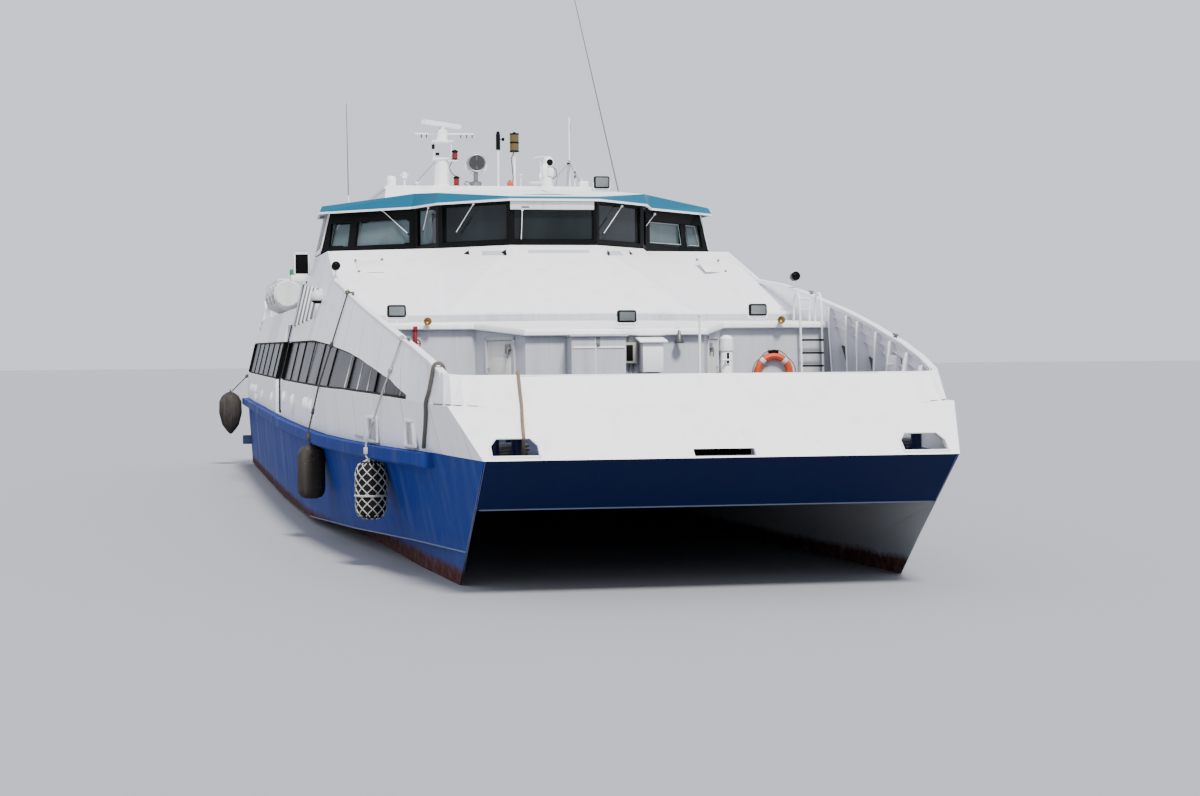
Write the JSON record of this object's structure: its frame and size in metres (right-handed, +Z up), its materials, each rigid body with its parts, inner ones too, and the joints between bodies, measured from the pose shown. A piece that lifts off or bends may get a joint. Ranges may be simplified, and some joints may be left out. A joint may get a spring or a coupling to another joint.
{
  "type": "catamaran passenger ferry",
  "caption": "Twin-hulled passenger ferry with a raked square bow, a long saloon, a faceted wheelhouse and an upper deck, with moving doors, rudders and propellers.",
  "frame": {"origin": "amidships on the centreline at the waterline", "axes": "+X towards the bow, +Y to port, +Z up"},
  "size_m": [38.825, 10.13, 13.2813],
  "materials": {
    "hull_blue": "gloss marine paint",
    "bow_navy": "gloss marine paint",
    "white_paint": "satin marine paint",
    "deck_grey": "matt non-slip deck paint",
    "panel_grey": "satin paint",
    "wheelhouse_black": "satin black paint",
    "dark_glass": "dark tinted",
    "teal_paint": "satin paint",
    "canister_white": "glass fibre gelcoat",
    "seat_fabric": "woven upholstery",
    "lifebuoy_orange": "weathered",
    "steel": "worn",
    "bronze": "machined",
    "fender_rubber": "worn",
    "engine_paint": "matt paint"
  },
  "bodies": {
    "ferry": {"hull_starboard": "hull_blue", "hull_port": "hull_blue", "bridge_deck": "bow_navy", "side_shell_starboard": "white_paint", "side_shell_port": "white_paint", "bow_bulwark": "white_paint", "front_roof": "white_paint", "stern_bulkhead": "white_paint", "upper_saloon": "white_paint", "upper_saloon_roof": "white_paint", "guard_rail": "white_paint", "radar_mast": "white_paint", "engine_room_cover": "deck_grey", "upper_deck": "deck_grey", "foredeck_bulkhead": "panel_grey", "stairs": "panel_grey", "foredeck_locker": "panel_grey", "wheelhouse": "wheelhouse_black", "side_light_screen_starboard": "wheelhouse_black", "side_light_screen_port": "wheelhouse_black", "side_glass_aft_starboard": "dark_glass", "side_glass_aft_port": "dark_glass", "side_glass_fore_starboard": "dark_glass", "side_glass_fore_port": "dark_glass", "wheelhouse_glass": "dark_glass", "upper_saloon_glass_starboard": "dark_glass", "upper_saloon_glass_port": "dark_glass", "wheelhouse_roof": "teal_paint", "liferafts_starboard": "canister_white", "liferafts_port": "canister_white", "helm_station": "seat_fabric", "cabin_seats_aft_starboard": "seat_fabric", "cabin_seats_aft_port": "seat_fabric", "cabin_seats_fore_starboard": "seat_fabric", "cabin_seats_fore_port": "seat_fabric", "lifebuoy": "lifebuoy_orange", "windlass": "steel", "searchlight": "steel", "shaft_line_starboard": "steel", "shaft_line_port": "steel", "fender_netted": "fender_rubber", "fender_plain": "fender_rubber", "fender_stern": "fender_rubber", "engine_starboard": "engine_paint", "engine_port": "engine_paint"},
    "rudder_starboard": {"rudder_starboard": "hull_blue"},
    "rudder_port": {"rudder_port": "hull_blue"},
    "radar_scanner": {"radar_scanner": "white_paint"},
    "wheelhouse_door_starboard": {"wheelhouse_door_starboard": "white_paint"},
    "wheelhouse_door_port": {"wheelhouse_door_port": "white_paint"},
    "foredeck_door_starboard": {"foredeck_door_starboard": "panel_grey"},
    "foredeck_door_port": {"foredeck_door_port": "panel_grey"},
    "stern_door": {"stern_door": "panel_grey"},
    "upper_saloon_door": {"upper_saloon_door": "panel_grey"},
    "foredeck_locker_lid": {"foredeck_locker_lid": "panel_grey"},
    "boarding_door_starboard": {"boarding_door_starboard": "wheelhouse_black"},
    "boarding_door_port": {"boarding_door_port": "wheelhouse_black"},
    "propeller_starboard": {"propeller_starboard": "bronze"},
    "propeller_port": {"propeller_port": "bronze"}
  },
  "joints": [
    {"name": "boarding_door_starboard_slide", "type": "slide", "parent": "ferry", "child": "boarding_door_starboard", "axis": [-1, 0, 0], "range_m": [0, 2.2]},
    {"name": "foredeck_door_starboard_hinge", "type": "hinge", "parent": "ferry", "child": "foredeck_door_starboard", "pos_m": [11.28801, -1.90696, 2.6], "axis": [0, 0, -1], "range_deg": [0, 95]},
    {"name": "wheelhouse_door_starboard_hinge", "type": "hinge", "parent": "ferry", "child": "wheelhouse_door_starboard", "pos_m": [0.886, -3.504, 4.9], "axis": [0, 0, 1], "range_deg": [0, 100]},
    {"name": "propeller_starboard_spin", "type": "hinge", "parent": "ferry", "child": "propeller_starboard", "pos_m": [-17.6, -3.25, -1.3], "axis": [1, 0, 0], "continuous": true},
    {"name": "rudder_starboard_steer", "type": "hinge", "parent": "ferry", "child": "rudder_starboard", "pos_m": [-18.6, -3.25, -1.2], "axis": [0, 0, 1], "range_deg": [-35, 35]},
    {"name": "boarding_door_port_slide", "type": "slide", "parent": "ferry", "child": "boarding_door_port", "axis": [-1, 0, 0], "range_m": [0, 2.2]},
    {"name": "foredeck_door_port_hinge", "type": "hinge", "parent": "ferry", "child": "foredeck_door_port", "pos_m": [11.28801, 1.90696, 2.6], "axis": [0, 0, 1], "range_deg": [0, 95]},
    {"name": "wheelhouse_door_port_hinge", "type": "hinge", "parent": "ferry", "child": "wheelhouse_door_port", "pos_m": [0.886, 3.504, 4.9], "axis": [0, 0, -1], "range_deg": [0, 100]},
    {"name": "propeller_port_spin", "type": "hinge", "parent": "ferry", "child": "propeller_port", "pos_m": [-17.6, 3.25, -1.3], "axis": [1, 0, 0], "continuous": true},
    {"name": "rudder_port_steer", "type": "hinge", "parent": "ferry", "child": "rudder_port", "pos_m": [-18.6, 3.25, -1.2], "axis": [0, 0, 1], "range_deg": [-35, 35]},
    {"name": "stern_door_slide", "type": "slide", "parent": "ferry", "child": "stern_door", "axis": [0, -1, 0], "range_m": [0, 1]},
    {"name": "upper_saloon_door_hinge", "type": "hinge", "parent": "ferry", "child": "upper_saloon_door", "pos_m": [-11.514, -0.454, 5], "axis": [0, 0, 1], "range_deg": [0, 100]},
    {"name": "foredeck_locker_lid_hinge", "type": "hinge", "parent": "ferry", "child": "foredeck_locker_lid", "pos_m": [12.3553, -0.35, 3.42], "axis": [0, -1, 0], "range_deg": [0, 80]},
    {"name": "radar_scanner_spin", "type": "hinge", "parent": "ferry", "child": "radar_scanner", "pos_m": [-2.2, -0.945, 8.1], "axis": [0, 0, 1], "continuous": true}
  ]
}
